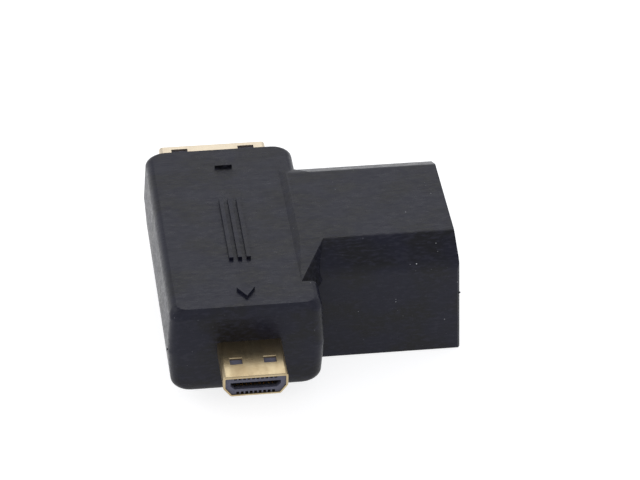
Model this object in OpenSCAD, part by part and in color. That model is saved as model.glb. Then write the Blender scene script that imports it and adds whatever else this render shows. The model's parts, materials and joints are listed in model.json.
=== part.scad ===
// T shaped adapter: a type A socket on the arm, a type D micro plug on the front of the bar
// and a type C mini plug on its back, all on one small board inside a moulded body.
// X runs along the arm to the socket's mouth, Y from the micro plug to the mini plug, Z is up.
// The origin is on the surface that the body lies on, under the crossing of the bar's and the arm's
// middle lines.

/* [Bar] */
// Length of the bar, front to back
bar_length = 26.1; // [25.6:0.1:30]
// Width of the bar at the parting plane
bar_width = 14.2; // [13.8:0.1:17]
// Height of the bar above the parting plane
bar_rise = 4.6; // [4.2:0.1:6]
// Depth of the bar below the parting plane
bar_drop = 4.45; // [4.2:0.1:5]
// Height of the parting plane above the surface that the body lies on
parting_height = 6.45; // [6:0.05:8]
// Radius of the bar's front corners, seen from above
bar_front_radius = 1.0; // [0.6:0.1:1.6]
// Radius of the bar's back corners, seen from above
bar_back_radius = 1.2; // [1:0.1:2.2]
// How far the bar's sides lean in above and below the parting plane
bar_draft = 0.2; // [0.1:0.05:0.4]
// How much further out each side of the bar stands at its back
bar_spread = 0.15; // [0:0.05:0.3]
// How far the round along the bar's top sides reaches in
top_round_in = 0.75; // [0.4:0.05:1]
// How far the round along the bar's top sides reaches down
top_round_down = 1.0; // [0.5:0.05:1.4]
// How far the slope at the bar's top ends reaches in
end_slope_in = 0.5; // [0.3:0.05:0.8]
// Radius along the bar's bottom sides
bottom_side_radius = 1.25; // [0.8:0.05:1.5]
// Radius along the bar's bottom ends
bottom_end_radius = 0.45; // [0.2:0.05:0.8]

/* [Arm] */
// Distance of the arm's end face from the middle of the bar, at its top
arm_reach = 20.25; // [19.5:0.05:24]
// How far the arm's end face leans out at its foot
arm_end_lean = 0.5; // [0.1:0.05:0.6]
// Width of the arm
arm_width = 16.8; // [16.2:0.1:19]
// Set-back of the arm's front face behind the bar's front face
arm_setback = 6.25; // [5.4:0.05:6.6]
// Height of the arm above the parting plane
arm_rise = 5.15; // [4.9:0.05:6]
// Width of each sloped shoulder along the arm's top
shoulder_width = 3.0; // [2:0.05:3.6]
// Height of each sloped shoulder along the arm's top
shoulder_height = 1.65; // [1:0.05:2]
// Radius between the sloped shoulders and the arm's sides
shoulder_radius = 1.4; // [0.3:0.1:1.6]
// Radius between the arm's top and its sloped shoulders
crest_radius = 0.9; // [0.3:0.1:1.6]
// Radius along the arm's lower edges
arm_edge_radius = 0.25; // [0.1:0.05:0.5]
// Bevel at the foot and the sides of the arm's end face
arm_end_bevel = 0.2; // [0.1:0.05:0.4]
// How far the arm's top laps over the bar, in from the bar's side
lap_in = 1.77; // [1.4:0.01:2.2]
// Length of the soft step at the lap's edge on the bar
lap_step = 0.6; // [0.3:0.05:0.8]
// How far the lap runs along the bar, forward of the arm's front face
lap_forward = 2.59; // [1:0.01:3]
// Reach of the lap's front web along the arm
lap_front_reach = 0.92; // [0.5:0.01:1.6]
// Reach of the lap's back web along the arm
lap_back_reach = 1.0; // [0.6:0.1:3]
// Distance of the lap's back end from the arm's back face
lap_back_short = 1.65; // [1:0.05:2.4]
// Spread of the lap's front wall at its foot
lap_wall_spread = 0.95; // [0.4:0.05:1.1]
// Depth of the lap's front wall below the arm's shoulder
lap_wall_drop = 0.9; // [0.4:0.05:1.2]
// How far the arm's foot runs under the bar, past the middle of the bar
foot_reach = 2.0; // [0:0.1:3]
// Length of the slope from the foot up to the bar's underside
foot_slope = 2.0; // [1:0.1:3]

/* [Raised marks] */
// Height of the raised marks
mark_height = 0.3; // [0.15:0.05:0.4]
// Width of each direction arrow
arrow_width = 1.65; // [1:0.05:2]
// Length of each direction arrow
arrow_length = 1.3; // [0.8:0.05:1.6]
// Distance of the front arrow's tip from the bar's front face
arrow_from_front = 1.7; // [1.2:0.05:2]
// Distance of the back arrow's tip from the bar's back face
arrow_from_back = 2.4; // [1.4:0.05:3]
// Sideways place of the marks on the bar
mark_offset = 0.2; // [-0.5:0.05:0.8]
// Number of plain ribs between the arrows
rib_count = 3; // [2:1:4]
// Spacing of the ribs
rib_pitch = 0.8; // [0.6:0.05:1]
// Width of each rib
rib_width = 0.38; // [0.25:0.01:0.45]
// Length of each rib
rib_length = 9.4; // [6:0.1:10]
// Distance of the ribs' front end from the bar's front face
rib_from_front = 7.6; // [6:0.1:9]
// How far the flash nibs stand out at the parting plane
nib_size = 0.08; // [0.05:0.01:0.2]

/* [Micro plug] */
// Width of the micro plug's shell
micro_width = 5.83; // [5.83:0.01:5.93]
// Height of the micro plug's shell
micro_height = 2.2; // [2.2:0.01:2.3]
// Sideways place of the micro plug on the bar
micro_offset = 0.2; // [-0.3:0.05:0.4]
// How far the micro plug stands out of the body
micro_exposed = 5.1; // [5:0.05:5.6]
// How far the micro plug's shell runs into the body
micro_buried = 4.6; // [4:0.1:5]
// Width of the cut on each lower corner of the micro plug
micro_cut_width = 0.67; // [0.5:0.01:0.8]
// Height of the cut on each lower corner of the micro plug
micro_cut_height = 0.9; // [0.7:0.01:1.1]
// Thickness of the micro plug's shell
micro_sheet = 0.2; // [0.15:0.01:0.22]
// Radius of the micro plug's corners
micro_corner_radius = 0.3; // [0.25:0.01:0.35]
// Width of each window in the micro plug's shell
micro_window_width = 1.13; // [0.9:0.01:1.3]
// Length of each window in the micro plug's shell
micro_window_length = 0.85; // [0.5:0.05:1]
// Distance of the windows from the micro plug's mouth
micro_window_from_mouth = 1.85; // [1.5:0.05:2.4]
// Spacing of the two windows in the micro plug's shell
micro_window_spacing = 3.05; // [2.8:0.01:3.4]
// Width of the micro plug's slot
micro_slot_width = 4.5; // [4.2:0.05:4.6]
// Height of the micro plug's slot
micro_slot_height = 0.72; // [0.65:0.01:0.8]
// Depth of the micro plug's slot
micro_slot_depth = 4.2; // [3.8:0.1:4.6]

/* [Mini plug] */
// Width of the mini plug's shell
mini_width = 10.42; // [10.42:0.01:10.5]
// Height of the mini plug's shell
mini_height = 2.42; // [2.42:0.01:2.5]
// How far the mini plug stands out of the body
mini_exposed = 5.4; // [5:0.05:6]
// How far the mini plug's shell runs into the body
mini_buried = 4.9; // [4.4:0.1:5.2]
// Width of the cut on each lower corner of the mini plug
mini_cut_width = 0.95; // [0.8:0.01:1.1]
// Height of the cut on each lower corner of the mini plug
mini_cut_height = 1.15; // [0.9:0.01:1.3]
// Thickness of the mini plug's shell
mini_sheet = 0.22; // [0.18:0.01:0.25]
// Radius of the mini plug's corners
mini_corner_radius = 0.35; // [0.28:0.01:0.45]
// Width of each window in the mini plug's shell
mini_window_width = 1.58; // [1.3:0.01:1.8]
// Length of each window in the mini plug's shell
mini_window_length = 1.2; // [0.8:0.05:1.4]
// Distance of the windows from the mini plug's mouth
mini_window_from_mouth = 0.56; // [0.4:0.01:0.8]
// Spacing of the two windows in the mini plug's shell
mini_window_spacing = 6.5; // [6:0.05:7]
// Width of the mini plug's slot
mini_slot_width = 8.3; // [8:0.05:8.4]
// Height of the mini plug's slot
mini_slot_height = 0.85; // [0.8:0.01:0.95]
// Depth of the mini plug's slot
mini_slot_depth = 4.5; // [4:0.1:4.8]

/* [Plug contacts] */
// Spacing of the contacts in both plugs
plug_pitch = 0.4; // [0.4:0.01:0.41]
// Width of each plug contact
plug_contact_width = 0.2; // [0.16:0.01:0.22]
// Thickness of each plug contact
plug_contact_sheet = 0.12; // [0.1:0.01:0.14]
// Number of contacts in the micro plug's wide row
micro_upper_count = 10; // [8:1:10]
// Number of contacts in the micro plug's narrow row
micro_lower_count = 9; // [7:1:9]
// Number of contacts in the mini plug
mini_count = 19; // [15:1:19]
// Set-back of the insulators behind the plugs' mouths
insulator_setback = 0.12; // [0.05:0.01:0.25]
// How far the contacts' noses stand into the plugs' slots
nose_depth = 0.12; // [0.08:0.01:0.18]
// Distance of the contacts' front ends from the mouths
nose_start = 0.65; // [0.5:0.05:0.8]
// Length of the sloped lead of each contact's nose
nose_length = 0.5; // [0.4:0.05:0.6]
// Length over which each contact rises from its nose to its groove
nose_rise_length = 1.5; // [1:0.1:2]
// Depth of the grooves for the contacts in the insulators' outer faces
groove_depth = 0.26; // [0.2:0.01:0.3]
// Width of the channels for the contacts in the insulators
channel_width = 0.26; // [0.24:0.01:0.28]
// Thickness of the insulators' skin over those channels
channel_skin = 0.2; // [0.15:0.01:0.22]
// Width of the foot behind the micro plug's insulator
micro_foot_width = 4.8; // [4:0.1:5]
// Width of the foot behind the mini plug's insulator
mini_foot_width = 9; // [8:0.1:9.4]

/* [Socket] */
// Width of the socket's opening
opening_width = 14; // [13.9:0.05:14.2]
// Height of the socket's opening
opening_height = 4.55; // [4.5:0.01:4.7]
// Width of the opening's narrow side
opening_narrow = 10.15; // [9.8:0.05:11]
// Height of the opening's straight sides above its wide side
opening_straight = 2.2; // [1.8:0.05:2.6]
// Thickness of the socket's shell
socket_sheet = 0.3; // [0.25:0.01:0.35]
// Radius of the corners of the socket's opening
opening_corner_radius = 0.4; // [0.3:0.05:0.6]
// Depth of the socket's shell
socket_length = 11.3; // [11:0.1:11.8]
// Set-back of the socket's mouth behind the arm's end face
socket_setback = 0.1; // [0.05:0.05:0.5]
// Width of the socket's tongue
tongue_width = 10.9; // [10.6:0.05:11.2]
// Thickness of the socket's tongue
tongue_height = 1.9; // [1.8:0.05:2]
// Set-back of the tongue's tip behind the socket's mouth
tongue_setback = 0.9; // [0.6:0.05:1.2]
// Bevel round the tongue's tip
tongue_bevel = 0.35; // [0.2:0.05:0.45]
// Height of the tongue's middle above the opening's wide side
tongue_above_wide_side = 2.05; // [1.9:0.05:2.3]
// Length of the insulator's body behind the tongue
socket_body_length = 2.6; // [2:0.1:3.2]
// Length of the comb that holds the contacts' tails
comb_length = 0.6; // [0.4:0.05:0.9]
// Width of that comb
comb_width = 11.4; // [10.6:0.1:12]
// Height of that comb
comb_height = 2.6; // [2.4:0.1:3]
// Spacing of the contacts in each row of the socket
socket_pitch = 1; // [0.98:0.01:1.04]
// Width of each socket contact
socket_contact_width = 0.45; // [0.3:0.01:0.5]
// Thickness of each socket contact
socket_contact_sheet = 0.18; // [0.14:0.01:0.2]
// How far the contacts stand proud of the tongue
contact_proud = 0.04; // [0.02:0.01:0.08]
// Set-back of the contacts' ends behind the tongue's tip
contact_setback = 0.5; // [0.4:0.05:0.8]
// Number of contacts on the tongue's wide side
socket_lower_count = 10; // [8:1:10]
// Number of contacts on the tongue's narrow side
socket_upper_count = 9; // [7:1:9]
// Width of each retention spring in the socket's shell
spring_width = 1.9; // [1.4:0.1:2.2]
// Length of each retention spring
spring_length = 5.2; // [4:0.1:6]
// How far each retention spring leans into the opening
spring_lean = 0.42; // [0.25:0.01:0.5]
// Width of the slot round each retention spring
spring_slot = 0.35; // [0.25:0.05:0.5]
// Spacing of the two springs on each side of the socket
spring_spacing = 5.4; // [5:0.1:6]
// Distance of the springs' windows from the socket's mouth
spring_from_mouth = 1.6; // [1.2:0.1:2]
// Length of the turned-up tip of each spring
spring_tip_length = 0.8; // [0.6:0.1:1]
// Angle of the turned-up tip of each spring
spring_tip_angle = 25; // [15:1:30]

/* [Board and inner moulding] */
// Thickness of the circuit board
board_height = 0.8; // [0.6:0.05:0.9]
// Width of the board beside the socket
board_arm_width = 14; // [13.4:0.1:14]
// Cover of the inner moulding over the board's front and back edges
board_end_cover = 0.3; // [0.2:0.05:0.5]
// Cover of the inner moulding over the board's side edges
board_side_cover = 0.25; // [0.15:0.05:0.4]
// Gap between the solder of the mini plug's legs and the side of the inner moulding
core_gap = 0.49; // [0.3:0.01:0.7]
// Thickness of the body's wall in front of and behind the inner moulding
end_wall = 2.4; // [1.8:0.1:2.6]
// Thickness of the body's wall below the inner moulding
bottom_wall = 1.1; // [0.8:0.05:1.3]
// Thickness of the body's wall above the inner moulding
top_wall = 2.0; // [1.2:0.1:2.4]
// Length of the insulators' blocks behind the plugs' shells
insulator_tail = 0.35; // [0.3:0.05:0.5]
// Distance from a plug's insulator to the nearer row of contact legs
leg_gap = 0.25; // [0.2:0.05:0.35]
// Length of each plug contact's foot on the board
plug_foot_length = 0.7; // [0.5:0.05:0.75]
// Length of each socket contact's foot on the board
socket_foot_length = 1.4; // [1:0.1:1.6]
// Height of the solder beside the contacts' feet
solder_height = 0.22; // [0.15:0.01:0.3]
// Margin of the solder round the contacts' feet
solder_margin = 0.08; // [0.05:0.01:0.09]
// Width of each leg that ties a plug's shell to the board
leg_width = 1.1; // [0.8:0.1:1.2]
// Distance of the legs from the rear of a plug's shell
leg_from_rear = 0.3; // [0.2:0.05:0.4]
// How far the legs reach below the board
leg_below_board = 0.45; // [0.35:0.05:0.55]
// Gap round each leg in the board
leg_clearance = 0.1; // [0.05:0.01:0.15]
// Height of the solder round each leg
leg_solder_height = 0.3; // [0.2:0.05:0.35]
// Margin of the solder round each leg
leg_solder_margin = 0.25; // [0.15:0.05:0.3]
// Gap between the socket's tabs and the solder of the mini plug's legs
tab_gap = 0.84; // [0.5:0.02:1.2]
// Height of the tabs that tie the socket's shell to the board
tab_height = 1.2; // [1:0.1:1.3]
// Width of the solder beside each tab
tab_solder_width = 0.5; // [0.3:0.05:0.6]

/* [Hidden] */

// Overlap between shapes that are joined into one solid, and past faces that are cut
join = 0.01;
// Thickness of the slices that the rounded body is drawn round
slice = 0.01;
// Segments in each rounded corner, and in one of a small radius
corner_steps = 6;
small_corner_steps = 3;
small_radius = 0.28;
// Angle between the slices round an edge
slice_angle = 15;

// Heights
bar_top = parting_height + bar_rise;
bar_bottom = parting_height - bar_drop;
arm_top = parting_height + arm_rise;
arm_shoulder = arm_top - shoulder_height;
plug_mid = parting_height;
board_top = plug_mid - mini_height / 2;
board_bottom = board_top - board_height;
board_mid = board_top - board_height / 2;
wide_side = board_mid - tongue_above_wide_side;

// Places along the bar
arm_front = -arm_width / 2;
arm_back = arm_width / 2;
bar_front = arm_front - arm_setback;
bar_back = bar_front + bar_length;
micro_mouth = bar_front - micro_exposed;
micro_rear = bar_front + micro_buried;
mini_mouth = bar_back + mini_exposed;
mini_rear = bar_back - mini_buried;
core_front = bar_front + end_wall;
core_back = bar_back - end_wall;

// Places along the arm
bar_side = bar_width / 2;
leg_solder_side = mini_width / 2 + leg_clearance + leg_solder_margin;
core_side = leg_solder_side + core_gap;
board_side = core_side - board_side_cover;
socket_mouth = arm_reach - socket_setback;
socket_rear = socket_mouth - socket_length;
tongue_tip = socket_mouth - tongue_setback;
tongue_root = socket_rear + socket_body_length;
board_right = socket_rear - comb_length;
tab_start = leg_solder_side + tab_gap;

// Outline helpers
// A corner of three points becomes an arc of the given radius
function unit(v) = v / norm(v);
function turn(a) = a > 180 ? a - 360 : a < -180 ? a + 360 : a;
function corner_arc(before, corner, after, r) =
    let (u = unit(before - corner), v = unit(after - corner),
         half = acos(u * v) / 2,
         centre = corner + unit(u + v) * r / sin(half),
         start = corner + u * r / tan(half) - centre,
         stop = corner + v * r / tan(half) - centre,
         start_angle = atan2(start[1], start[0]),
         sweep = turn(atan2(stop[1], stop[0]) - start_angle),
         steps = r < small_radius ? small_corner_steps : corner_steps)
    [for (i = [0 : steps]) let (a = start_angle + sweep * i / steps) centre + r * [cos(a), sin(a)]];
function rounded(points, radii) =
    let (n = len(points))
    [for (i = [0 : n - 1])
        let (before = points[(i + n - 1) % n], after = points[(i + 1) % n])
        each (radii[i] <= 0 ? [points[i]] : corner_arc(before, points[i], after, radii[i]))];

// An outline that runs anticlockwise, moved out by a margin (in, where it is negative)
function right_of(a, b) = let (d = unit(b - a)) [d[1], -d[0]];
function grown(points, margin) =
    let (n = len(points))
    [for (i = [0 : n - 1])
        let (a = right_of(points[(i + n - 1) % n], points[i]), b = right_of(points[i], points[(i + 1) % n]))
        points[i] + (a + b) / (1 + a * b) * margin];

// Outline of a strip of even thickness that follows a line of points
function mitre(path, i) =
    i == 0 ? right_of(path[0], path[1])
    : i == len(path) - 1 ? right_of(path[i - 1], path[i])
    : let (a = right_of(path[i - 1], path[i]), b = right_of(path[i], path[i + 1])) (a + b) / (1 + a * b);
function strip(path, thickness) = concat(
    [for (i = [0 : len(path) - 1]) path[i] + mitre(path, i) * thickness / 2],
    [for (i = [len(path) - 1 : -1 : 0]) path[i] - mitre(path, i) * thickness / 2]);

// Places of a row of equal things, centred on zero
function row(count, pitch) = [for (i = [0 : count - 1]) (i - (count - 1) / 2) * pitch];

// Shape helpers
// A box from its lowest to its highest corner
module block(low, high) {
    translate(low) cube(high - low);
}

// A flat outline in X and Z, given depth along Y
module along_y(from, to) {
    translate([0, to, 0]) rotate([90, 0, 0]) linear_extrude(to - from) children();
}

// A flat outline in Y and Z, given depth along X
module along_x(from, to) {
    translate([from, 0, 0]) rotate([90, 0, 90]) linear_extrude(to - from) children();
}

// Outlines that several pieces share
// A plug, wide side up, with its lower corners cut
function plug_outline(width, height, cut_width, cut_height, margin, radius) =
    let (w = width / 2, low = plug_mid - height / 2, high = plug_mid + height / 2)
    rounded(
        grown([[-w + cut_width, low], [w - cut_width, low], [w, low + cut_height], [w, high],
            [-w, high], [-w, low + cut_height]], margin),
        [for (i = [0 : 5]) radius + margin]);
function micro_outline(margin = 0) =
    plug_outline(micro_width, micro_height, micro_cut_width, micro_cut_height, margin, micro_corner_radius);
function mini_outline(margin = 0) =
    plug_outline(mini_width, mini_height, mini_cut_width, mini_cut_height, margin, mini_corner_radius);

// Puts a piece of the micro plug in its sideways place
module micro_place() {
    translate([micro_offset, 0, 0]) children();
}

// The socket's opening, wide side down
function opening_outline(margin = 0) =
    let (w = opening_width / 2, n = opening_narrow / 2, straight = wide_side + opening_straight,
         high = wide_side + opening_height)
    rounded(
        grown([[-w, wide_side], [w, wide_side], [w, straight], [n, high],
            [-n, high], [-w, straight]], margin),
        [for (i = [0 : 5]) opening_corner_radius + margin]);

// Body
// One level slice of the bar, drawn in by its own amounts at the sides and at the ends
module bar_slice(z, side_in, end_in) {
    x = bar_side - side_in;
    front = bar_front + end_in;
    back = bar_back - end_in;
    translate([0, 0, z]) linear_extrude(slice)
        polygon(rounded([[-x, front], [x, front], [x + bar_spread, back], [-x - bar_spread, back]],
            [bar_front_radius, bar_front_radius, bar_back_radius, bar_back_radius]));
}

module bar_form() {
    hull() {
        for (a = [0 : slice_angle : 90]) {
            bar_slice(bar_top - slice - top_round_down * (1 - sin(a)),
                bar_draft + top_round_in * (1 - cos(a)), bar_draft / 2 + end_slope_in * sin(a));
            bar_slice(bar_bottom + bottom_side_radius * (1 - sin(a)),
                bar_draft + bottom_side_radius * (1 - cos(a)),
                bar_draft / 2 + bottom_end_radius * (1 - cos(a)));
        }
        bar_slice(parting_height - slice / 2, 0, 0);
    }
}

// One upright slice of the arm
module arm_slice(x) {
    along_x(x, x + slice) polygon(rounded(
        [[arm_front, 0], [arm_back, 0], [arm_back, arm_shoulder], [arm_back - shoulder_width, arm_top],
            [arm_front + shoulder_width, arm_top], [arm_front, arm_shoulder]],
        [arm_edge_radius, arm_edge_radius, shoulder_radius, crest_radius, crest_radius, shoulder_radius]));
}

// The arm is drawn too long, and its leaning end face is cut from it, with a bevel at its foot and its sides
module arm_form() {
    foot = arm_reach + arm_end_lean;
    bevel = arm_end_bevel * sqrt(2);
    difference() {
        hull() {
            arm_slice(bar_side - lap_in / 2);
            arm_slice(foot + arm_width);
        }
        translate([foot, 0, 0]) rotate([0, -atan(arm_end_lean / arm_top), 0]) {
            block([0, -arm_width, -arm_width], [2 * arm_width, arm_width, 2 * arm_width]);
            rotate([0, 45, 0]) cube([bevel, 2 * arm_width, bevel], center = true);
            for (y = [arm_front, arm_back])
                translate([0, y, 0]) rotate([0, 0, 45]) cube([bevel, bevel, 4 * arm_width], center = true);
        }
    }
}

// The arm's top spreads out over the bar in a thin lap. Its front edge runs aslant from the arm's shoulder
// to a tip on the bar, with a steep wall below it.
lap_tip = [bar_side - lap_in, arm_front - lap_forward];
lap_corner = [bar_side + lap_front_reach, arm_front + shoulder_width];
lap_foot = arm_shoulder - lap_wall_drop;

module lap_form() {
    front = lap_corner[1];
    back = arm_back - shoulder_width;
    end = arm_back - lap_back_short;
    low = lap_foot;
    high = arm_top - join;
    spread = right_of(lap_tip, lap_corner) * lap_wall_spread;
    // Each post is a place, and the heights of its foot and head
    posts = [
        [lap_tip, low, bar_top],
        [lap_corner, low, high],
        [lap_tip + spread, low, low + slice],
        [lap_corner + spread, low, low + slice],
        [[bar_side - lap_in + lap_step, front], low, high],
        [[bar_side - lap_in + lap_step, back], low, high],
        [[bar_side - lap_in, end], low, bar_top],
        [[bar_side - bar_draft, end], low, bar_top],
        [[bar_side + lap_back_reach, back], low, high]
    ];
    hull() {
        for (p = posts)
            translate([p[0][0], p[0][1], p[1]]) cube([slice, slice, p[2] - p[1]]);
    }
}

// The bar's edge is cut away between the lap's tip and the arm
module lap_notch() {
    right = bar_side + join;
    wall_end = lap_tip + (lap_corner - lap_tip) * (right - lap_tip[0]) / (lap_corner[0] - lap_tip[0]);
    translate([0, 0, lap_foot + join]) linear_extrude(bar_top - lap_foot)
        polygon([lap_tip, [right, lap_tip[1]], wall_end]);
}

// The arm's foot runs on under the bar, so that the body lies flat
module foot_form() {
    right = bar_side - lap_in / 2 + join;
    rise = bar_bottom + bottom_side_radius;
    along_y(arm_front, arm_back)
        polygon([[-foot_reach, 0], [right, 0], [right, rise], [-foot_reach - foot_slope, rise],
            [-foot_reach - foot_slope, bar_bottom]]);
}

// Direction arrow with its tip at the given place, pointing forward (-1) or back (1)
module arrow(tip, way) {
    base = tip - way * arrow_length;
    translate([mark_offset, 0, bar_top - join]) linear_extrude(mark_height + join)
        polygon([[0, tip], [-way * arrow_width / 2, base], [way * arrow_width / 2, base]]);
}

module raised_marks() {
    arrow(bar_front + arrow_from_front, -1);
    arrow(bar_back - arrow_from_back, 1);
    for (x = row(rib_count, rib_pitch))
        translate([mark_offset + x, bar_front + rib_from_front, 0])
            block([-rib_width / 2, 0, bar_top - join], [rib_width / 2, rib_length, bar_top + mark_height]);
}

// Small leftovers of flash where the mould's halves met
module nib(x, y) {
    translate([x, y, parting_height]) rotate([0, 0, 45])
        cube([2 * nib_size, 2 * nib_size, nib_size], center = true);
}

module flash_nibs() {
    nib(-bar_side, bar_front + bar_front_radius);
    nib(arm_reach + arm_end_lean * (1 - parting_height / arm_top), arm_front + arm_end_bevel);
}

// The space of the inner moulding: a block in the bar, and a neck as wide as the socket
module core_form() {
    block([-core_side, core_front, bar_bottom + bottom_wall], [core_side, core_back, bar_top - top_wall]);
    along_x(core_side - join, socket_rear) polygon(opening_outline(socket_sheet));
}

module overmould() {
    color("#2f2f34") difference() {
        union() {
            difference() {
                bar_form();
                lap_notch();
            }
            arm_form();
            lap_form();
            foot_form();
            raised_marks();
            flash_nibs();
        }
        core_form();
        micro_place() along_y(bar_front - join, core_front + join) polygon(micro_outline());
        along_y(core_back - join, bar_back + join) polygon(mini_outline());
        along_x(socket_rear - join, arm_reach + arm_end_lean + join) polygon(opening_outline(socket_sheet));
    }
}

module inner_mould() {
    color("#e4e1d6") difference() {
        core_form();
        circuit_board();
        micro_plug_shell();
        micro_plug_insulator();
        micro_plug_upper_contacts();
        micro_plug_lower_contacts();
        mini_plug_shell();
        mini_plug_insulator();
        mini_plug_contacts();
        socket_shell();
        socket_tail_comb();
        socket_upper_contacts();
        socket_lower_contacts();
        micro_plug_solder();
        mini_plug_solder();
        socket_upper_solder();
        socket_lower_solder();
        micro_plug_leg_solder();
        mini_plug_leg_solder();
        socket_tab_solder();
    }
}

// Board
// Two upright legs of a plug's shell, grown by a margin; way is 1 where the plug points forward, else -1
module leg_pair(width, sheet, rear, way, low, high, margin = 0) {
    near = rear - way * leg_from_rear;
    far = near - way * leg_width;
    for (side = [-1, 1]) {
        middle = side * (width - sheet) / 2;
        block([middle - sheet / 2 - margin, min(near, far) - margin, low],
            [middle + sheet / 2 + margin, max(near, far) + margin, high]);
    }
}

module micro_legs(low, high, margin = 0) {
    micro_place() leg_pair(micro_width, micro_sheet, micro_rear, 1, low, high, margin);
}

module mini_legs(low, high, margin = 0) {
    leg_pair(mini_width, mini_sheet, mini_rear, -1, low, high, margin);
}

module circuit_board() {
    color("#1f5b3a") difference() {
        union() {
            block([-board_side, core_front + board_end_cover, board_bottom],
                [board_side, core_back - board_end_cover, board_top]);
            block([board_side - join, -board_arm_width / 2, board_bottom],
                [board_right, board_arm_width / 2, board_top]);
        }
        micro_legs(board_bottom - join, board_top + join, leg_clearance);
        mini_legs(board_bottom - join, board_top + join, leg_clearance);
    }
}

// Plugs
// Windows through the wide side of a plug's shell
module windows(spacing, width, from, to, high) {
    for (x = [-spacing / 2, spacing / 2])
        block([x - width / 2, from, plug_mid], [x + width / 2, to, high + join]);
}

module micro_plug_shell() {
    window_front = micro_mouth + micro_window_from_mouth;
    color("#d8c08a") union() {
        micro_place() difference() {
            along_y(micro_mouth, micro_rear) polygon(micro_outline());
            along_y(micro_mouth - join, micro_rear + join) polygon(micro_outline(-micro_sheet));
            windows(micro_window_spacing, micro_window_width,
                window_front, window_front + micro_window_length, plug_mid + micro_height / 2);
        }
        micro_legs(board_bottom - leg_below_board, plug_mid);
    }
}

module mini_plug_shell() {
    window_back = mini_mouth - mini_window_from_mouth;
    color("#d8c08a") union() {
        difference() {
            along_y(mini_rear, mini_mouth) polygon(mini_outline());
            along_y(mini_rear - join, mini_mouth + join) polygon(mini_outline(-mini_sheet));
            windows(mini_window_spacing, mini_window_width,
                window_back - mini_window_length, window_back, plug_mid + mini_height / 2);
        }
        mini_legs(board_bottom - leg_below_board, plug_mid);
    }
}

// Line of one plug contact in Y and Z. It starts with its nose in the slot, runs back through the insulator
// and steps down to the board. way is 1 where the body lies behind the mouth in +Y, side 1 above the slot.
function contact_line(mouth, way, side, slot_height, level, leg) =
    let (nose = plug_mid + side * (slot_height / 2 - nose_depth + plug_contact_sheet / 2),
         held = plug_mid + side * level,
         foot = board_top + plug_contact_sheet / 2)
    [[mouth + way * nose_start, nose + side * nose_depth], [mouth + way * (nose_start + nose_length), nose],
     [mouth + way * (nose_start + nose_length + nose_rise_length), held], [leg, held], [leg, foot],
     [leg + way * plug_foot_length, foot]];

micro_level = micro_height / 2 - micro_sheet - groove_depth - plug_contact_sheet / 2 + join;
mini_level = mini_height / 2 - mini_sheet - groove_depth - plug_contact_sheet / 2 + join;
micro_near_leg = micro_rear + insulator_tail + leg_gap;
micro_far_leg = micro_near_leg + plug_foot_length + 2 * solder_margin + plug_contact_sheet;
mini_leg = mini_rear - insulator_tail - leg_gap;

module plug_contacts(places, line) {
    for (x = places)
        along_x(x - plug_contact_width / 2, x + plug_contact_width / 2)
            polygon(strip(line, plug_contact_sheet));
}

module micro_plug_upper_contacts() {
    color("#e2c477") micro_place() plug_contacts(row(micro_upper_count, plug_pitch),
        contact_line(micro_mouth, 1, 1, micro_slot_height, micro_level, micro_far_leg));
}

module micro_plug_lower_contacts() {
    color("#e2c477") micro_place() plug_contacts(row(micro_lower_count, plug_pitch),
        contact_line(micro_mouth, 1, -1, micro_slot_height, micro_level, micro_near_leg));
}

module mini_plug_contacts() {
    color("#e2c477") plug_contacts(row(mini_count, plug_pitch),
        contact_line(mini_mouth, -1, 1, mini_slot_height, mini_level, mini_leg));
}

// Channels of one row of contacts: a shallow groove in the outer face at the front, and behind it a channel
// that is open to the slot and lies below a skin
module channels(places, mouth, way, side, outer, slot_height, depth) {
    front = mouth + way * nose_start;
    far = mouth + way * depth;
    groove_low = plug_mid + side * (outer - groove_depth);
    groove_high = plug_mid + side * (outer + join);
    open_low = plug_mid + side * slot_height / 2;
    open_high = plug_mid + side * (outer - channel_skin);
    for (x = places) translate([x, 0, 0]) {
        block([-channel_width / 2, min(mouth, front), min(groove_low, groove_high)],
            [channel_width / 2, max(mouth, front), max(groove_low, groove_high)]);
        block([-channel_width / 2, min(front, far) - join, min(open_low, open_high)],
            [channel_width / 2, max(front, far) + join, max(open_low, open_high)]);
    }
}

module plug_slot(width, height, from, to) {
    w = width / 2;
    h = height / 2;
    along_y(from, to)
        polygon([[-w + h, plug_mid - h], [w - h, plug_mid - h], [w, plug_mid], [w, plug_mid + h],
            [-w, plug_mid + h], [-w, plug_mid]]);
}

module micro_plug_insulator() {
    front = micro_mouth + insulator_setback;
    rear = micro_rear + insulator_tail;
    outer = micro_height / 2 - micro_sheet;
    color("#4a4a5c") difference() {
        micro_place() union() {
            along_y(front, rear) polygon(micro_outline(-micro_sheet));
            block([-micro_foot_width / 2, micro_rear, board_top], [micro_foot_width / 2, rear, plug_mid]);
        }
        micro_place() {
            plug_slot(micro_slot_width, micro_slot_height, front - join, micro_mouth + micro_slot_depth);
            channels(row(micro_upper_count, plug_pitch), micro_mouth, 1, 1,
                outer, micro_slot_height, micro_slot_depth);
            channels(row(micro_lower_count, plug_pitch), micro_mouth, 1, -1,
                outer, micro_slot_height, micro_slot_depth);
        }
        micro_plug_upper_contacts();
        micro_plug_lower_contacts();
    }
}

module mini_plug_insulator() {
    front = mini_mouth - insulator_setback;
    rear = mini_rear - insulator_tail;
    outer = mini_height / 2 - mini_sheet;
    color("#4a4a5c") difference() {
        union() {
            along_y(rear, front) polygon(mini_outline(-mini_sheet));
            block([-mini_foot_width / 2, rear, board_top], [mini_foot_width / 2, mini_rear, plug_mid]);
        }
        plug_slot(mini_slot_width, mini_slot_height, mini_mouth - mini_slot_depth, front + join);
        channels(row(mini_count, plug_pitch), mini_mouth, -1, 1,
            outer, mini_slot_height, mini_slot_depth);
        mini_plug_contacts();
    }
}

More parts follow.
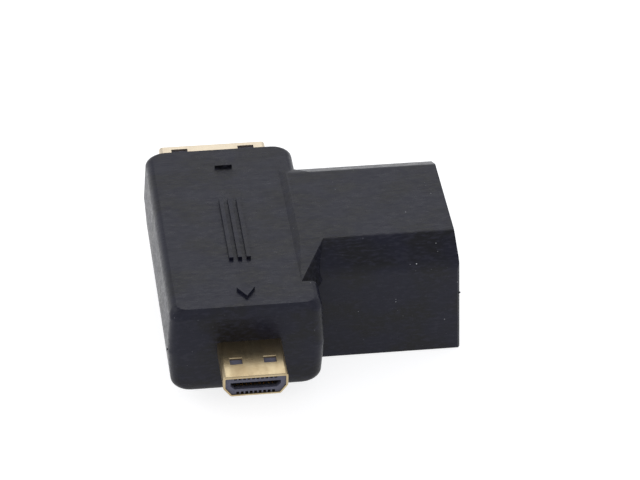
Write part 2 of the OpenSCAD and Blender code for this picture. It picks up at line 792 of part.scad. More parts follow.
// Solder that ties a plug's legs to the board: it fills the gap round each leg and stands below the board
module leg_solder(width, sheet, rear, way) {
    difference() {
        union() {
            leg_pair(width, sheet, rear, way, board_bottom - join, board_top, leg_clearance);
            leg_pair(width, sheet, rear, way, board_bottom - leg_solder_height, board_bottom,
                leg_clearance + leg_solder_margin);
        }
        leg_pair(width, sheet, rear, way, board_bottom - leg_below_board - join, board_top + join);
    }
}

module micro_plug_leg_solder() {
    color("#b9bcc0") micro_place() leg_solder(micro_width, micro_sheet, micro_rear, 1);
}

module mini_plug_leg_solder() {
    color("#b9bcc0") leg_solder(mini_width, mini_sheet, mini_rear, -1);
}

// Solder round the contacts' feet, from each leg to past the foot's end
module foot_solder(places, leg, way) {
    start = leg + way * plug_contact_sheet / 2;
    end = leg + way * (plug_foot_length + solder_margin);
    for (x = places)
        block([x - plug_contact_width / 2 - solder_margin, min(start, end), board_top],
            [x + plug_contact_width / 2 + solder_margin, max(start, end), board_top + solder_height]);
}

module micro_plug_solder() {
    color("#b9bcc0") difference() {
        micro_place() union() {
            foot_solder(row(micro_upper_count, plug_pitch), micro_far_leg, 1);
            foot_solder(row(micro_lower_count, plug_pitch), micro_near_leg, 1);
        }
        micro_plug_upper_contacts();
        micro_plug_lower_contacts();
    }
}

module mini_plug_solder() {
    color("#b9bcc0") difference() {
        foot_solder(row(mini_count, plug_pitch), mini_leg, -1);
        mini_plug_contacts();
    }
}

// Socket
spring_root = socket_mouth - spring_from_mouth - spring_length;

// One retention spring in X and Z, leaning into the opening; side is 1 on the narrow side, else -1
module retention_spring(y, side, sheet_mid) {
    free = spring_root + spring_length - spring_slot;
    bend = sheet_mid - side * spring_lean;
    tip = bend + side * spring_tip_length * tan(spring_tip_angle);
    along_y(y - spring_width / 2, y + spring_width / 2)
        polygon(strip([[spring_root - spring_slot, sheet_mid], [spring_root, sheet_mid],
            [free - spring_tip_length, bend], [free, tip]], socket_sheet));
}

module spring_window(y, low, high) {
    block([spring_root, y - spring_width / 2 - spring_slot, low],
        [spring_root + spring_length, y + spring_width / 2 + spring_slot, high]);
}

module socket_shell() {
    narrow_mid = wide_side + opening_height + socket_sheet / 2;
    wide_mid = wide_side - socket_sheet / 2;
    tab_top = wide_side + opening_straight - opening_corner_radius;
    color("#cbb98e") union() {
        difference() {
            along_x(socket_rear, socket_mouth) polygon(opening_outline(socket_sheet));
            along_x(socket_rear - join, socket_mouth + join) polygon(opening_outline());
            for (y = row(2, spring_spacing)) {
                spring_window(y, narrow_mid - socket_sheet, narrow_mid + socket_sheet);
                spring_window(y, wide_mid - socket_sheet, wide_mid + socket_sheet);
            }
        }
        for (y = row(2, spring_spacing)) {
            retention_spring(y, 1, narrow_mid);
            retention_spring(y, -1, wide_mid);
        }
        for (y = [-opening_width / 2 - socket_sheet, opening_width / 2])
            block([tab_start, y, tab_top - tab_height],
                [socket_rear + join, y + socket_sheet, tab_top]);
    }
}

// Line of one socket contact in X and Z; side is 1 on the tongue's upper face, -1 on its lower face
function socket_line(side) =
    let (level = board_mid + side * (tongue_height / 2 - socket_contact_sheet / 2 + contact_proud),
         foot = board_mid + side * (board_height + socket_contact_sheet) / 2)
    [[tongue_tip - contact_setback, level], [socket_rear, level], [board_right, foot],
     [board_right - socket_foot_length, foot]];

module socket_contacts(places, side) {
    for (y = places)
        along_y(y - socket_contact_width / 2, y + socket_contact_width / 2)
            polygon(strip(socket_line(side), socket_contact_sheet));
}

module socket_upper_contacts() {
    color("#e2c477") socket_contacts(row(socket_upper_count, socket_pitch), 1);
}

module socket_lower_contacts() {
    color("#e2c477") socket_contacts(row(socket_lower_count, socket_pitch), -1);
}

module socket_insulator() {
    half = tongue_height / 2;
    color("#232326") difference() {
        union() {
            along_x(socket_rear, tongue_root) polygon(opening_outline());
            translate([0, 0, board_mid]) along_y(-tongue_width / 2, tongue_width / 2)
                polygon([[tongue_root - join, -half], [tongue_tip - tongue_bevel, -half],
                    [tongue_tip, -half + tongue_bevel], [tongue_tip, half - tongue_bevel],
                    [tongue_tip - tongue_bevel, half], [tongue_root - join, half]]);
        }
        socket_upper_contacts();
        socket_lower_contacts();
    }
}

module socket_tail_comb() {
    color("#232326") difference() {
        block([board_right, -comb_width / 2, board_mid - comb_height / 2],
            [socket_rear, comb_width / 2, board_mid + comb_height / 2]);
        socket_upper_contacts();
        socket_lower_contacts();
    }
}

// Solder round the feet of one row of socket contacts
module socket_foot_solder(places, side) {
    face = board_mid + side * board_height / 2;
    crest = face + side * solder_height;
    half = socket_contact_width / 2 + solder_margin;
    for (y = places)
        block([board_right - socket_foot_length - solder_margin, y - half, min(face, crest)],
            [board_right - solder_margin, y + half, max(face, crest)]);
}

module socket_upper_solder() {
    color("#b9bcc0") difference() {
        socket_foot_solder(row(socket_upper_count, socket_pitch), 1);
        socket_upper_contacts();
    }
}

module socket_lower_solder() {
    color("#b9bcc0") difference() {
        socket_foot_solder(row(socket_lower_count, socket_pitch), -1);
        socket_lower_contacts();
    }
}

module socket_tab_solder() {
    half = opening_width / 2;
    color("#b9bcc0")
        for (y = [-half, half - tab_solder_width])
            block([tab_start, y, board_bottom - leg_solder_height],
                [board_right, y + tab_solder_width, board_bottom]);
}

overmould();
inner_mould();
circuit_board();
micro_plug_shell();
micro_plug_insulator();
micro_plug_upper_contacts();
micro_plug_lower_contacts();
mini_plug_shell();
mini_plug_insulator();
mini_plug_contacts();
socket_shell();
socket_insulator();
socket_tail_comb();
socket_upper_contacts();
socket_lower_contacts();
micro_plug_solder();
mini_plug_solder();
socket_upper_solder();
socket_lower_solder();
micro_plug_leg_solder();
mini_plug_leg_solder();
socket_tab_solder();
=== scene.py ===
"""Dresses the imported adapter: refined meshes, procedural materials, pale floor, soft light, camera.

Blender's unit is the metre. Sizes and places here are in millimetres, and MM turns them into metres.
"""

import json
import math

import bmesh
import bpy
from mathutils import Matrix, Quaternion, Vector


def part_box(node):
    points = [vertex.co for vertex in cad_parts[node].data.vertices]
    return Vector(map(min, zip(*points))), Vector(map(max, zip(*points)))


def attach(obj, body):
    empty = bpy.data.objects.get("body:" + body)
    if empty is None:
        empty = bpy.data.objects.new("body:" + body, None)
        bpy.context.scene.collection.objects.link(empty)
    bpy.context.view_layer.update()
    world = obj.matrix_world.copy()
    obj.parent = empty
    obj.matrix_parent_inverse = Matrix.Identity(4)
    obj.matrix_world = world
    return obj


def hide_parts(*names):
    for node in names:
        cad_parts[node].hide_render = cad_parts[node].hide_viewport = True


MM = 0.001

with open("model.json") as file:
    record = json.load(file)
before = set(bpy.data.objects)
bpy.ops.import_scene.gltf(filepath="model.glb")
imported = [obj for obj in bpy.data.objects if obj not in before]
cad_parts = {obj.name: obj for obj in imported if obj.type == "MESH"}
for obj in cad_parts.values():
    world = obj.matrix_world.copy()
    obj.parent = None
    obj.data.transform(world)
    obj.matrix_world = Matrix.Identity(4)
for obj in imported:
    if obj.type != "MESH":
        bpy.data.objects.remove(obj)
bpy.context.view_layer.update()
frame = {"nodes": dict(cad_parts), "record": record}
scene = bpy.context.scene


def corners(node):
    """Lowest and highest corner of a CAD node."""
    return [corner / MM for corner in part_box(node)]


# Places that the frame gives
MICRO_LOW, MICRO_HIGH = corners("micro_plug_shell")
MINI_LOW, MINI_HIGH = corners("mini_plug_shell")
SOCKET_LOW, SOCKET_HIGH = corners("socket_shell")
MICRO_MOUTH = MICRO_LOW.y
MINI_MOUTH = MINI_HIGH.y
MICRO_MIDDLE = (MICRO_LOW.x + MICRO_HIGH.x) / 2
MINI_MIDDLE = (MINI_LOW.x + MINI_HIGH.x) / 2
MICRO_FACE = corners("micro_plug_insulator")[0].y
MINI_FACE = corners("mini_plug_insulator")[1].y

# Height of the plugs' middle plane, and half the height of the space in their slots
PLUG_MIDDLE = 6.45
SLOT_HALF = 0.45
# Windows of the plugs' shells: their sides from the plug's middle, and their front and rear from its mouth
MICRO_WINDOW_SIDES = (0.96, 2.09)
MICRO_WINDOW_FRONT = 1.85
MICRO_WINDOW_REAR = 2.7
MINI_WINDOW_SIDES = (2.46, 4.04)
MINI_WINDOW_REAR = 1.76
# Past this place and above this height, the edges of the arm's end are rounded
ARM_EDGE_PLACE = 20.1
ARM_EDGE_HEIGHT = 8.2

# Camera, from the fit to the photograph: place, direction of view and turn about it
CAMERA_PLACE = Vector((-23.356, -222.876, 170.959))
CAMERA_AIM = Vector((0.114591, 0.801022, -0.587565))
CAMERA_ROLL = math.radians(1.049)
CAMERA_LENS = 166.3
CAMERA_SENSOR = 36.0
# Nearest and furthest distance that the camera sees
CAMERA_NEAR = 5.0
CAMERA_FAR = 20000.0


def photo_camera():
    """The camera at the photograph's viewing angle."""
    data = bpy.data.cameras.new("camera")
    data.lens = CAMERA_LENS
    data.sensor_width = CAMERA_SENSOR
    data.clip_start = CAMERA_NEAR * MM
    data.clip_end = CAMERA_FAR * MM
    made = bpy.data.objects.new("camera", data)
    made.location = CAMERA_PLACE * MM
    made.rotation_mode = "QUATERNION"
    made.rotation_quaternion = CAMERA_AIM.to_track_quat("-Z", "Y") @ Quaternion((0.0, 0.0, 1.0), CAMERA_ROLL)
    scene.collection.objects.link(made)
    return made


scene.camera = photo_camera()

# Shader helpers
# Noise seldom leaves this range
NOISE_LOW = 0.3
NOISE_HIGH = 0.7
# Smallest speck and faintest speck, as shares of the full size and strength, and the share that is solid
SPECK_SMALLEST = 0.35
SPECK_FAINTEST = 0.3
SPECK_SOLID = 0.55


def tone(red, green, blue):
    """A colour given as sRGB values from 0 to 255."""
    linear = []
    for value in (red, green, blue):
        share = value / 255.0
        linear.append(share / 12.92 if share <= 0.04045 else ((share + 0.055) / 1.055) ** 2.4)
    return (*linear, 1.0)


class Nodes:
    """A node tree, with short calls for the nodes used here."""

    def __init__(self, tree):
        self.tree = tree

    def set(self, socket, value):
        """Links a socket, or sets it to a plain value."""
        if isinstance(value, bpy.types.NodeSocket):
            self.tree.links.new(value, socket)
        else:
            socket.default_value = value

    def node(self, kind, **settings):
        made = self.tree.nodes.new(kind)
        for key, value in settings.items():
            setattr(made, key, value)
        return made

    def wired(self, kind, *values, **settings):
        """A new node whose sockets are linked or set in their order."""
        made = self.node(kind, **settings)
        for socket, value in zip(made.inputs, values):
            self.set(socket, value)
        return made.outputs[0]

    def math(self, operation, *values, clamp=False):
        return self.wired("ShaderNodeMath", *values, operation=operation, use_clamp=clamp)

    def ramp(self, value, low, high, out_low=0.0, out_high=1.0, smooth=True):
        """Maps low..high to out_low..out_high, held at both ends."""
        made = self.node("ShaderNodeMapRange", interpolation_type="SMOOTHSTEP" if smooth else "LINEAR")
        self.set(made.inputs["Value"], value)
        for key, number in (("From Min", low), ("From Max", high), ("To Min", out_low), ("To Max", out_high)):
            made.inputs[key].default_value = number
        return made.outputs["Result"]

    def vary(self, noise, low=0.0, high=1.0):
        """A value from low to high that follows the noise."""
        return self.ramp(noise, NOISE_LOW, NOISE_HIGH, low, high)


class Surface(Nodes):
    """A material's node tree, with textures whose sizes are given in millimetres."""

    def __init__(self, name):
        self.material = bpy.data.materials.new(name)
        self.material.use_nodes = True
        super().__init__(self.material.node_tree)
        self.bsdf = self.tree.nodes["Principled BSDF"]
        self.place = self.node("ShaderNodeTexCoord").outputs["Object"]

    def coordinate(self, axis):
        """The place along X, Y or Z."""
        split = self.node("ShaderNodeSeparateXYZ")
        self.set(split.inputs["Vector"], self.place)
        return self.math("DIVIDE", split.outputs[axis], MM)

    def mix(self, factor, a, b):
        made = self.node("ShaderNodeMix", data_type="RGBA")
        self.set(made.inputs["Factor"], factor)
        self.set(made.inputs["A"], a)
        self.set(made.inputs["B"], b)
        return made.outputs["Result"]

    def stretched(self, sizes, turn=(0.0, 0.0, 0.0), shift=(0.0, 0.0, 0.0)):
        """Coordinates turned by degrees, in which each given size is one unit."""
        turned = self.node("ShaderNodeMapping", vector_type="POINT")
        self.set(turned.inputs["Vector"], self.place)
        turned.inputs["Rotation"].default_value = [math.radians(angle) for angle in turn]
        scaled = self.node("ShaderNodeMapping", vector_type="POINT")
        self.set(scaled.inputs["Vector"], turned.outputs["Vector"])
        scaled.inputs["Scale"].default_value = [1.0 / (size * MM) for size in sizes]
        scaled.inputs["Location"].default_value = shift
        return scaled.outputs["Vector"]

    def noise(self, sizes, detail=2.0, rough=0.5, **where):
        """Noise with features of the given sizes along X, Y and Z."""
        made = self.node("ShaderNodeTexNoise")
        self.set(made.inputs["Vector"], self.stretched(sizes, **where))
        made.inputs["Scale"].default_value = 1.0
        made.inputs["Detail"].default_value = detail
        made.inputs["Roughness"].default_value = rough
        return made.outputs["Fac"]

    def specks(self, sizes, radius, share, **where):
        """Spots in a share of the cells of the given sizes. The largest has the radius, counted in cells."""
        cells = self.node("ShaderNodeTexVoronoi", feature="F1")
        self.set(cells.inputs["Vector"], self.stretched(sizes, **where))
        cells.inputs["Scale"].default_value = 1.0
        chance = self.node("ShaderNodeSeparateColor")
        self.set(chance.inputs["Color"], cells.outputs["Color"])
        chosen = self.math("LESS_THAN", chance.outputs["Red"], share)
        size = self.ramp(chance.outputs["Green"], 0.0, 1.0, SPECK_SMALLEST, 1.0, smooth=False)
        strength = self.ramp(chance.outputs["Blue"], 0.0, 1.0, SPECK_FAINTEST, 1.0, smooth=False)
        near = self.math("DIVIDE", cells.outputs["Distance"], self.math("MULTIPLY", size, radius))
        spot = self.ramp(near, SPECK_SOLID, 1.0, 1.0, 0.0)
        return self.math("MULTIPLY", self.math("MULTIPLY", spot, chosen), strength)

    def bump(self, height, strength, depth, normal=None):
        """Bump whose full height is the given depth."""
        made = self.node("ShaderNodeBump")
        made.inputs["Strength"].default_value = strength
        made.inputs["Distance"].default_value = depth * MM
        self.set(made.inputs["Height"], height)
        if normal is not None:
            self.set(made.inputs["Normal"], normal)
        return made.outputs["Normal"]

    def finish(self, color, roughness, normal, **plain):
        """The finished material. A plain value's name is its socket's, with lines for spaces."""
        self.set(self.bsdf.inputs["Base Color"], color)
        self.set(self.bsdf.inputs["Roughness"], roughness)
        self.set(self.bsdf.inputs["Normal"], normal)
        for key, value in plain.items():
            self.bsdf.inputs[key.replace("_", " ")].default_value = value
        return self.material


# Materials
# Tones of the black body, and how strongly its scratches and its dust show
BLACK_NEUTRAL = tone(15, 15, 19)
BLACK_BLUISH = tone(17, 18, 32)
BLACK_STREAK = tone(33, 33, 44)
SCRATCH = tone(105, 105, 110)
SCRATCH_COVER = 0.35
DUST = tone(190, 190, 192)
DUST_COVER = 0.8
FINE_DUST_COVER = 0.55
DUST_ROUGHNESS = 0.3
# The share of cells with dust grows along X, from the bar to the arm's end
DUST_START = 4.0
DUST_END = 18.0
DUST_LEAST = 0.16
DUST_MOST = 0.7
# The share of cells with a scratch
SCRATCHED = 0.12
# The micro plug's top rises slightly towards its windows, then bends down over this length up to its mouth
CROWN_LENGTH = 1.75
CROWN_BLEND = 1.0
CROWN_BEND = 0.065
CROWN_RISE = 0.025
# Between these places in Y the plating turns to the rear colour, up to this share
PLATING_FRONT = -1.0
PLATING_REAR = 1.0
PLATING_SHARE = 0.75
# How far behind an insulator's face its slot starts to darken with painted shade, and where that painted
# shade is at its darkest
SLOT_SHADE_START = 0.12
SLOT_SHADE_END = 0.6
SLOT_BLEND = 0.05
# The glass cloth's threads show between these values of its noise
WEAVE_LOW = 0.15
WEAVE_HIGH = 0.35


def black_plastic():
    """Moulded black body: clouds, lengthwise streaks, fine grain, dust specks and short scratches."""
    g = Surface("body_black")
    grain = g.noise((0.3, 0.3, 0.3), rough=0.6)
    streaks = g.noise((0.75, 0.2, 0.3), rough=0.6)
    cloud = g.noise((4.0, 3.0, 3.0))
    patches = g.noise((1.1, 0.45, 0.6), detail=3.0, rough=0.6, shift=(3.0, 1.0, 0.0))
    base = g.mix(g.ramp(cloud, 0.38, 0.62), BLACK_NEUTRAL, BLACK_BLUISH)
    base = g.mix(g.ramp(streaks, 0.45, 0.7, 0.0, 0.8), base, BLACK_STREAK)

    dusty = g.ramp(g.coordinate("X"), DUST_START, DUST_END, DUST_LEAST, DUST_MOST)
    coarse = g.specks((1.0, 1.0, 1.0), radius=0.075, share=dusty)
    fine = g.specks((0.5, 0.5, 0.5), radius=0.1, share=dusty, shift=(7.0, 3.0, 5.0))
    dust = g.math("MAXIMUM", coarse, g.math("MULTIPLY", fine, FINE_DUST_COVER))
    along = g.specks(
        (1.9, 0.3, 0.3), radius=0.15, share=SCRATCHED, turn=(0.0, 0.0, 24.0), shift=(2.0, 9.0, 4.0))
    upright = g.specks(
        (0.22, 0.22, 1.4), radius=0.16, share=SCRATCHED, turn=(16.0, 12.0, 0.0), shift=(5.0, 2.0, 8.0))
    scratches = g.math("MAXIMUM", along, upright)
    color = g.mix(g.math("MULTIPLY", scratches, SCRATCH_COVER), base, SCRATCH)
    color = g.mix(g.math("MULTIPLY", dust, DUST_COVER), color, DUST)

    rough = g.math("ADD", g.vary(patches, 0.33, 0.43), g.vary(streaks, -0.08, 0.08))
    rough = g.math("ADD", rough, g.math("MULTIPLY", dust, DUST_ROUGHNESS), clamp=True)
    normal = g.bump(streaks, strength=0.8, depth=0.021)
    normal = g.bump(patches, strength=0.35, depth=0.02, normal=normal)
    normal = g.bump(grain, strength=0.5, depth=0.008, normal=normal)
    return g.finish(color, rough, normal, Specular_IOR_Level=0.25, IOR=1.48)


def micro_crown(g):
    """Height of the micro plug's crowned top. Further back than that plug it is level."""
    forward = g.math("SUBTRACT", MICRO_MOUTH + CROWN_LENGTH, g.coordinate("Y"))
    bent = g.math("SMOOTH_MAX", forward, 0.0, CROWN_BLEND)
    risen = g.math("MAXIMUM", forward, MICRO_LOW.y - MICRO_HIGH.y)
    return g.math("SUBTRACT", g.math("MULTIPLY", risen, CROWN_RISE), g.math("MULTIPLY", bent, CROWN_BEND))


def gold_sheet(name, light, dark, rough_low, rough_high, rear=None):
    """Gold flash over stamped sheet: faint rolling lines and clouds. A rear colour, where one is given,
    is the plating of what lies behind the middle."""
    g = Surface(name)
    rolled = g.noise((0.3, 3.5, 0.3), detail=1.0, rough=0.4)
    cloud = g.noise((1.6, 1.9, 1.6), detail=3.0, rough=0.55)
    waves = g.noise((0.7, 1.1, 0.7), detail=1.0, rough=0.4)
    color = g.mix(g.ramp(cloud, 0.3, 0.75), light, dark)
    if rear is not None:
        share = g.ramp(g.coordinate("Y"), PLATING_FRONT, PLATING_REAR, 0.0, PLATING_SHARE)
        color = g.mix(share, color, rear)
    rough = g.math("ADD", g.vary(cloud, rough_low, rough_high), g.vary(rolled, -0.015, 0.015))
    normal = g.bump(waves, strength=0.5, depth=0.004)
    normal = g.bump(micro_crown(g), strength=1.0, depth=1.0, normal=normal)
    return g.finish(color, rough, normal, Metallic=1.0)


def contact_metal():
    """Bright gold over copper alloy, with fine drawing lines."""
    g = Surface("contact_gold")
    drawn = g.noise((0.04, 0.9, 0.04), rough=0.6)
    cloud = g.noise((0.6, 0.8, 0.6))
    color = g.mix(g.vary(cloud), tone(230, 202, 142), tone(210, 176, 114))
    return g.finish(color, g.vary(drawn, 0.29, 0.36), g.bump(drawn, strength=0.3, depth=0.002), Metallic=1.0)


def moulded(name, low, high, rough_low, rough_high, specular, painted_slot_shade=None):
    """Small moulded insulator: mottled, slightly glossy. In the plugs' slots it turns to the deep colour, a
    painted shade that darkens the slot more the further it lies behind the face.
    """
    g = Surface(name)
    mottle = g.noise((0.5, 0.6, 0.4), detail=3.0, rough=0.6)
    grain = g.noise((0.05, 0.05, 0.05), rough=0.6)
    color = g.mix(g.vary(mottle), low, high)
    # Painted shade: within the slot's height, the colour turns dark with depth behind the face, standing for
    # the shade inside the recess
    if painted_slot_shade is not None:
        place = g.coordinate("Y")
        depth = g.math("MINIMUM", g.math("SUBTRACT", place, MICRO_FACE), g.math("SUBTRACT", MINI_FACE, place))
        height = g.math("ABSOLUTE", g.math("SUBTRACT", g.coordinate("Z"), PLUG_MIDDLE))
        inside = g.ramp(height, SLOT_HALF, SLOT_HALF + SLOT_BLEND, 1.0, 0.0)
        dark = g.math("MULTIPLY", g.ramp(depth, SLOT_SHADE_START, SLOT_SHADE_END), inside)
        color = g.mix(dark, color, painted_slot_shade)
    normal = g.bump(mottle, strength=0.3, depth=0.01)
    normal = g.bump(grain, strength=0.4, depth=0.003, normal=normal)
    return g.finish(color, g.vary(mottle, rough_low, rough_high), normal, Specular_IOR_Level=specular)


def board_resist():
    """Solder resist over glass cloth."""
    g = Surface("board_green")
    warp = g.noise((0.35, 3.0, 3.0), detail=1.0)
    weft = g.noise((3.0, 0.35, 3.0), detail=1.0, shift=(5.0, 0.0, 0.0))
    weave = g.math("MULTIPLY", warp, weft)
    color = g.mix(g.ramp(weave, WEAVE_LOW, WEAVE_HIGH), tone(18, 70, 44), tone(30, 92, 58))
    rough = g.ramp(weave, WEAVE_LOW, WEAVE_HIGH, 0.25, 0.35)
    return g.finish(color, rough, g.bump(weave, strength=0.3, depth=0.01))


def bright_solder():
    """Solder, bright with a faint frost."""
    g = Surface("solder")
    frost = g.noise((0.12, 0.12, 0.12), detail=3.0, rough=0.6)
    color = g.mix(g.vary(frost), tone(205, 207, 210), tone(176, 179, 184))
    return g.finish(color, g.vary(frost, 0.2, 0.4), g.bump(frost, strength=0.3, depth=0.01), Metallic=1.0)


MATERIALS = {
    "body_black": black_plastic(),
    "inner_ivory": moulded("inner_ivory", tone(226, 221, 206), tone(238, 234, 222), 0.5, 0.62, 0.4),
    "board_green": board_resist(),
    "shell_gold": gold_sheet(
        "shell_gold", tone(187, 171, 137), tone(171, 151, 116), 0.3, 0.36, rear=tone(216, 204, 182)),
    "socket_shell_gold": gold_sheet("socket_shell_gold", tone(222, 205, 170), tone(200, 181, 146), 0.31, 0.4),
    "contact_gold": contact_metal(),
    # The grey insulator's deep colour is painted shade for the inside of the plugs' slots
    "insulator_grey": moulded(
        "insulator_grey", tone(70, 70, 84), tone(84, 84, 98), 0.42, 0.55, 0.45, painted_slot_shade=tone(36, 34, 33)),
    "insulator_black": moulded("insulator_black", tone(30, 30, 32), tone(40, 40, 42), 0.32, 0.45, 0.5),
    "solder": bright_solder(),
}

# Pieces
# Reach to both sides of a place in a zone, and a distance past the whole object
HAIR = 0.01
WIDE = 50.0


def zone(x=(-WIDE, WIDE), y=(-WIDE, WIDE), z=(-WIDE, WIDE)):
    """The lowest and highest corner of a box, or of a plane where one place is given in place of a range."""
    spans = [(span - HAIR, span + HAIR) if isinstance(span, float) else span for span in (x, y, z)]
    return [span[0] for span in spans], [span[1] for span in spans]


# Sides of a tube's wall whose edges are rounded
OUTER = 1
INNER = -1
EITHER = 0
# Each kind of rounded edge: its width, the steps across it and its side of the wall
ARM_EDGE = (0.2, 3, EITHER)
PLUG_MOUTH_EDGE = (0.13, 4, OUTER)
WINDOW_REAR_EDGE = (0.1, 3, EITHER)
WINDOW_FRONT_EDGE = (0.04, 2, EITHER)
SOCKET_MOUTH_EDGE = (0.06, 2, INNER)
# Where each node's sharp edges are rounded, and how
SOFT_EDGES = {
    "overmould": [(zone(x=(ARM_EDGE_PLACE, WIDE), z=(ARM_EDGE_HEIGHT, WIDE)), *ARM_EDGE)],
    "micro_plug_shell": [
        (zone(y=MICRO_MOUTH), *PLUG_MOUTH_EDGE),
        (zone(y=MICRO_MOUTH + MICRO_WINDOW_REAR, z=MICRO_HIGH.z), *WINDOW_REAR_EDGE),
        (zone(y=MICRO_MOUTH + MICRO_WINDOW_FRONT, z=MICRO_HIGH.z), *WINDOW_FRONT_EDGE),
    ],
    "mini_plug_shell": [
        (zone(y=MINI_MOUTH), *PLUG_MOUTH_EDGE),
        (zone(y=MINI_MOUTH - MINI_WINDOW_REAR, z=MINI_HIGH.z), *WINDOW_REAR_EDGE),
    ],
    "socket_shell": [(zone(x=SOCKET_HIGH.x), *SOCKET_MOUTH_EDGE)],
}
# Middle of each tube, and the axis that it runs along: 0 for X and 1 for Y
TUBES = {
    "overmould": (Vector((0.0, 0.0, PLUG_MIDDLE)), 1),
    "micro_plug_shell": (Vector((MICRO_MIDDLE, 0.0, PLUG_MIDDLE)), 1),
    "mini_plug_shell": (Vector((MINI_MIDDLE, 0.0, PLUG_MIDDLE)), 1),
    "socket_shell": ((SOCKET_LOW + SOCKET_HIGH) / 2, 0),
}
# Lines in X along the windows' sides, where the flat sheet is divided
WINDOW_LINES = {
    "micro_plug_shell": [MICRO_MIDDLE + way * side for way in (-1, 1) for side in MICRO_WINDOW_SIDES],
    "mini_plug_shell": [MINI_MIDDLE + way * side for way in (-1, 1) for side in MINI_WINDOW_SIDES],
}
# Nodes that can be seen from outside
SHOWN = (
    "overmould", "micro_plug_shell", "micro_plug_insulator", "micro_plug_upper_contacts",
    "micro_plug_lower_contacts", "mini_plug_shell", "mini_plug_insulator", "mini_plug_contacts",
    "socket_shell", "socket_insulator", "socket_upper_contacts", "socket_lower_contacts",
)
# Faces that meet at less than the first angle are one smooth surface, and at less than the second one flat
SMOOTH_ANGLE = math.radians(28)
FLAT_ANGLE = math.radians(0.4)
# Points nearer than this are one point, and a cut takes points within this distance as on its plane
WELD = 0.0004
CUT_REACH = 0.0001
# A wall's outward distance from its tube's middle is at least this
RADIAL = 0.3
# How strongly large faces set the shading of the edges beside them, in percent
FACE_WEIGHT = 80


def soften(mesh, tube, box, width, steps, side):
    """Rounds the sharp edges whose ends both lie in a box, on one side of a tube's wall."""
    (middle, axis), (low, high) = tube, box

    def wanted(edge):
        if not edge.is_manifold or edge.calc_face_angle(0.0) < SMOOTH_ANGLE:
            return False
        if not all(low[k] * MM <= v.co[k] <= high[k] * MM for v in edge.verts for k in range(3)):
            return False
        out = (edge.verts[0].co + edge.verts[1].co) / 2 - middle * MM
        out[axis] = 0.0
        return side == EITHER or any(face.normal.dot(out) * side > RADIAL * MM for face in edge.link_faces)

    bmesh.ops.bevel(mesh, geom=[edge for edge in mesh.edges if wanted(edge)], offset=width * MM,
                    offset_type="OFFSET", segments=steps, profile=0.5, affect="EDGES", clamp_overlap=True)


def divide(mesh, place):
    """Cuts every face that crosses a plane across X, and marks the cut's edges to be kept."""
    across = Vector((1.0, 0.0, 0.0))
    made = bmesh.ops.bisect_plane(mesh, geom=[*mesh.verts, *mesh.edges, *mesh.faces], dist=CUT_REACH * MM,
                                  plane_co=across * (place * MM), plane_no=across)
    for item in made["geom_cut"]:
        if isinstance(item, bmesh.types.BMEdge):
            item.seam = True


def dress(data, slot):
    """Gives a mesh the material of its slot."""
    data.materials.clear()
    data.materials.append(MATERIALS[slot])


def refine(node, slot):
    """Makes a welded copy of a CAD node with smooth rounds and true flats, which stands for the node."""
    piece = bpy.data.objects.new("fine_" + node, frame["nodes"][node].data.copy())
    scene.collection.objects.link(piece)
    mesh = bmesh.new()
    mesh.from_mesh(piece.data)
    bmesh.ops.remove_doubles(mesh, verts=mesh.verts, dist=WELD * MM)
    for line in WINDOW_LINES.get(node, ()):
        divide(mesh, line)
    bmesh.ops.dissolve_limit(
        mesh, angle_limit=FLAT_ANGLE, verts=mesh.verts, edges=mesh.edges, delimit={"SEAM"})
    for rounding in SOFT_EDGES.get(node, ()):
        soften(mesh, TUBES[node], *rounding)
    for face in mesh.faces:
        face.smooth = True
    for edge in mesh.edges:
        edge.smooth = not edge.is_manifold or edge.calc_face_angle(0.0) < SMOOTH_ANGLE
    mesh.to_mesh(piece.data)
    mesh.free()
    dress(piece.data, slot)
    weighted = piece.modifiers.new("weighted_normals", "WEIGHTED_NORMAL")
    weighted.keep_sharp = True
    weighted.weight = FACE_WEIGHT
    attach(piece, "root")
    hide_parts(node)


for part in frame["record"]["subparts"]:
    if part["node"] in SHOWN:
        refine(part["node"], part["material_slot"])
    else:
        dress(frame["nodes"][part["node"]].data, part["material_slot"])

# Floor
FLOOR_HALF = 3000.0
# Tone as the object sees it, tone as the camera sees it and the glow added to that one
FLOOR_TONE = (0.8, 0.8, 0.8, 1.0)
FLOOR_SHADED_TONE = (0.45, 0.45, 0.45, 1.0)
FLOOR_GLOW = 0.77
WHITE = (1.0, 1.0, 1.0, 1.0)


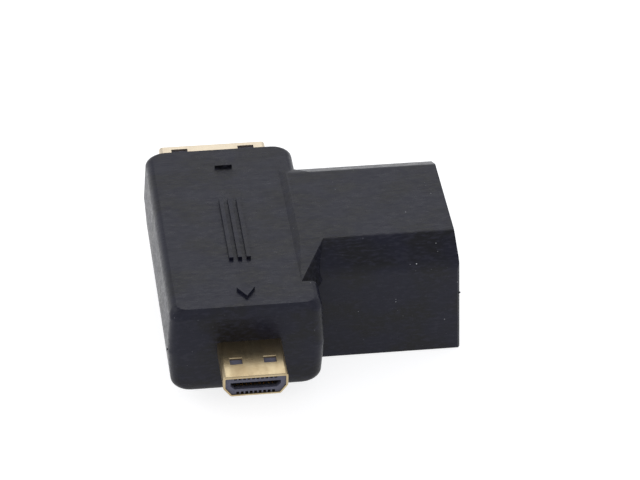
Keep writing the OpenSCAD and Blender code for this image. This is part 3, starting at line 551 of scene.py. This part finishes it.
def floor_material():
    """Pale floor. Seen directly or in a reflection it is near white and keeps a soft shadow."""
    made = bpy.data.materials.new("pale_floor")
    made.use_nodes = True
    g = Nodes(made.node_tree)
    g.tree.nodes.clear()
    rays = g.node("ShaderNodeLightPath").outputs
    seen = g.math("MAXIMUM", rays["Is Camera Ray"], rays["Is Glossy Ray"])
    seen = g.math("MAXIMUM", seen, rays["Is Transmission Ray"])
    plain = g.wired("ShaderNodeBsdfDiffuse", FLOOR_TONE)
    shaded = g.wired("ShaderNodeBsdfDiffuse", FLOOR_SHADED_TONE)
    glow = g.wired("ShaderNodeEmission", WHITE, FLOOR_GLOW)
    bright = g.wired("ShaderNodeAddShader", shaded, glow)
    choice = g.wired("ShaderNodeMixShader", seen, plain, bright)
    g.set(g.node("ShaderNodeOutputMaterial").inputs["Surface"], choice)
    return made


def pale_floor():
    """A square floor under the object."""
    half = FLOOR_HALF * MM
    data = bpy.data.meshes.new("floor")
    square = [(-half, -half, 0.0), (half, -half, 0.0), (half, half, 0.0), (-half, half, 0.0)]
    data.from_pydata(square, [], [(0, 1, 2, 3)])
    data.materials.append(floor_material())
    made = bpy.data.objects.new("floor", data)
    scene.collection.objects.link(made)
    return made


floor = pale_floor()

# World: white at the horizon, dimmer overhead. It dims between two heights, given as sines of their angles
WORLD_TINT = (0.95, 0.96, 1.02, 1.0)
WORLD_HORIZON = 1.0
WORLD_OVERHEAD = 0.64
WORLD_DIM_START = 0.6
WORLD_DIM_END = 0.97


def soft_world():
    """Soft studio light from all round."""
    made = bpy.data.worlds.new("world")
    made.use_nodes = True
    g = Nodes(made.node_tree)
    g.tree.nodes.clear()
    direction = g.node("ShaderNodeSeparateXYZ")
    g.set(direction.inputs["Vector"], g.node("ShaderNodeTexCoord").outputs["Generated"])
    level = g.ramp(direction.outputs["Z"], WORLD_DIM_START, WORLD_DIM_END, WORLD_HORIZON, WORLD_OVERHEAD)
    background = g.wired("ShaderNodeBackground", WORLD_TINT, level)
    g.set(g.node("ShaderNodeOutputWorld").inputs["Surface"], background)
    return made


scene.world = soft_world()

# Square lamps: place, width and power in watts. All face one point near the object's middle
LAMP_AIM = Vector((5.0, 0.0, 5.0))
LAMPS = {
    "key_left": (Vector((-420.0, 120.0, 340.0)), 300.0, 0.4),
    "key_high": (Vector((70.0, 360.0, 380.0)), 200.0, 0.17),
}


def lamp(name, place, width, power):
    """A square area lamp that faces the aim point."""
    data = bpy.data.lights.new(name, "AREA")
    data.shape = "SQUARE"
    data.size = width * MM
    data.energy = power
    made = bpy.data.objects.new(name, data)
    made.location = place * MM
    made.rotation_mode = "QUATERNION"
    made.rotation_quaternion = (LAMP_AIM - place).to_track_quat("-Z", "Y")
    scene.collection.objects.link(made)


for title, settings in LAMPS.items():
    lamp(title, *settings)

scene.view_settings.view_transform = "Standard"
